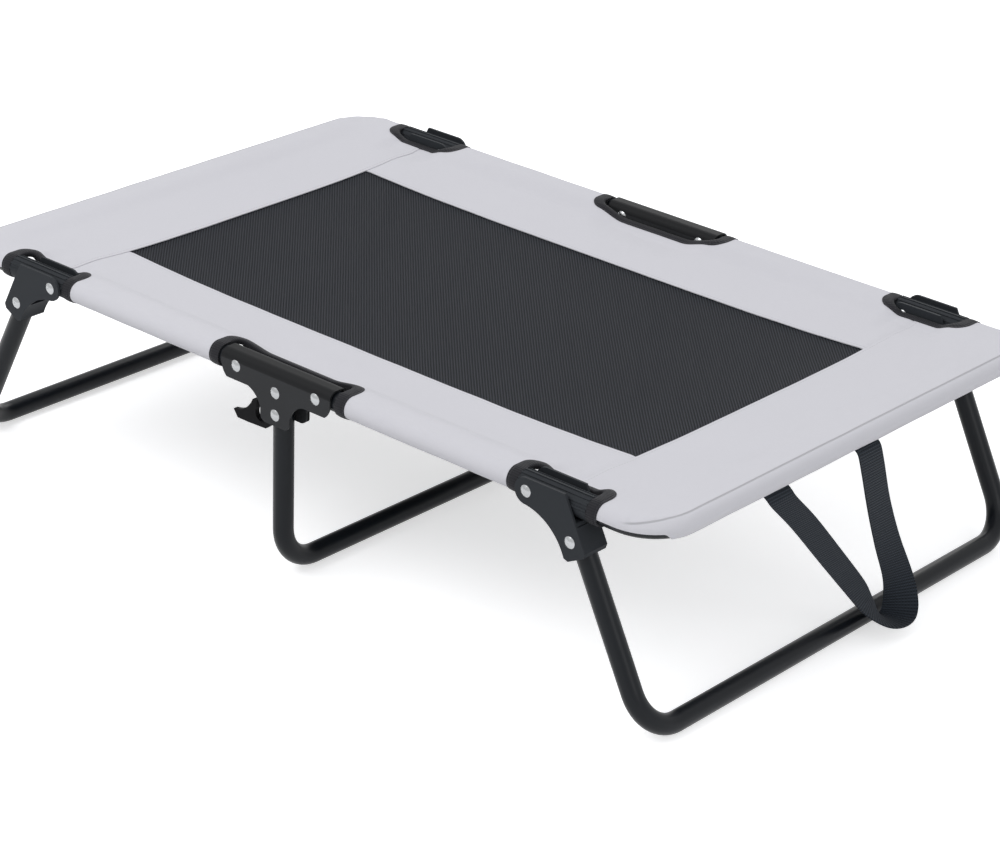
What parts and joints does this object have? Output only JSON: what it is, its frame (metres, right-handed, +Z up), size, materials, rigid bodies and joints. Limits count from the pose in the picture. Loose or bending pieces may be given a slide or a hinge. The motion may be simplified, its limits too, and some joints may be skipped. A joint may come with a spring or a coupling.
{
  "type": "folding raised dog cot",
  "caption": "Raised cot for a dog: a tube frame that folds in the middle, folding end legs in riveted brackets, and a sewn cloth sling with a see-through mesh centre and a carry strap.",
  "frame": {"origin": "on the floor, below the middle of the cot", "axes": "+X along the cot towards the foot end, which carries the strap; +Y across it towards the far side; +Z up"},
  "size_m": [1.0383, 0.6582, 0.24],
  "materials": {
    "tube_black": "satin black powder coat",
    "pressed_charcoal": "satin charcoal powder coat on pressed sheet",
    "moulded_charcoal": "fine-grained charcoal moulding",
    "moulded_black": "black moulding",
    "rivet_steel": "bright domed rivet head",
    "cloth_grey": "light grey fine plain weave",
    "mesh_charcoal": "open dark textile mesh, see-through",
    "binding_dark": "folded dark binding tape",
    "webbing_dark": "ribbed dark webbing"
  },
  "bodies": {
    "centre_stand": {"middle_leg_tube": "tube_black", "near_fold_bracket": "pressed_charcoal", "far_fold_bracket": "pressed_charcoal", "near_leg_catch": "moulded_black", "far_leg_catch": "moulded_black", "stem_rivets": "rivet_steel", "fold_pivot_rivets": "rivet_steel", "middle_mesh": "mesh_charcoal", "near_middle_panel": "cloth_grey", "far_middle_panel": "cloth_grey", "near_middle_binding": "binding_dark", "far_middle_binding": "binding_dark"},
    "foot_frame": {"foot_frame_tube": "tube_black", "foot_tube_plugs": "moulded_black", "foot_near_saddle": "moulded_charcoal", "foot_far_saddle": "moulded_charcoal", "foot_leg_pivot_rivets": "rivet_steel", "foot_end_panel": "cloth_grey", "foot_near_panel": "cloth_grey", "foot_far_panel": "cloth_grey", "foot_mesh": "mesh_charcoal", "foot_near_binding": "binding_dark", "foot_far_binding": "binding_dark", "foot_near_fold_binding": "binding_dark", "foot_far_fold_binding": "binding_dark", "carry_strap": "webbing_dark"},
    "head_frame": {"head_frame_tube": "tube_black", "head_tube_plugs": "moulded_black", "head_near_saddle": "moulded_charcoal", "head_far_saddle": "moulded_charcoal", "head_leg_pivot_rivets": "rivet_steel", "head_end_panel": "cloth_grey", "head_near_panel": "cloth_grey", "head_far_panel": "cloth_grey", "head_mesh": "mesh_charcoal", "head_near_binding": "binding_dark", "head_far_binding": "binding_dark", "head_near_fold_binding": "binding_dark", "head_far_fold_binding": "binding_dark"},
    "foot_leg": {"foot_leg_tube": "tube_black", "foot_near_leg_bracket": "moulded_charcoal", "foot_far_leg_bracket": "moulded_charcoal", "foot_leg_rivets": "rivet_steel"},
    "head_leg": {"head_leg_tube": "tube_black", "head_near_leg_bracket": "moulded_charcoal", "head_far_leg_bracket": "moulded_charcoal", "head_leg_rivets": "rivet_steel"}
  },
  "joints": [
    {"name": "foot_fold", "type": "hinge", "parent": "centre_stand", "child": "foot_frame", "pos_m": [0.057, 0, 0.226], "axis": [0, 1, 0], "range_deg": [0, 65]},
    {"name": "head_fold", "type": "hinge", "parent": "centre_stand", "child": "head_frame", "pos_m": [-0.057, 0, 0.226], "axis": [0, -1, 0], "range_deg": [0, 65]},
    {"name": "foot_leg_fold", "type": "hinge", "parent": "foot_frame", "child": "foot_leg", "pos_m": [0.342, 0, 0.226], "axis": [0, 1, 0], "range_deg": [0, 117.4]},
    {"name": "head_leg_fold", "type": "hinge", "parent": "head_frame", "child": "head_leg", "pos_m": [-0.342, 0, 0.226], "axis": [0, -1, 0], "range_deg": [0, 117.4]}
  ]
}
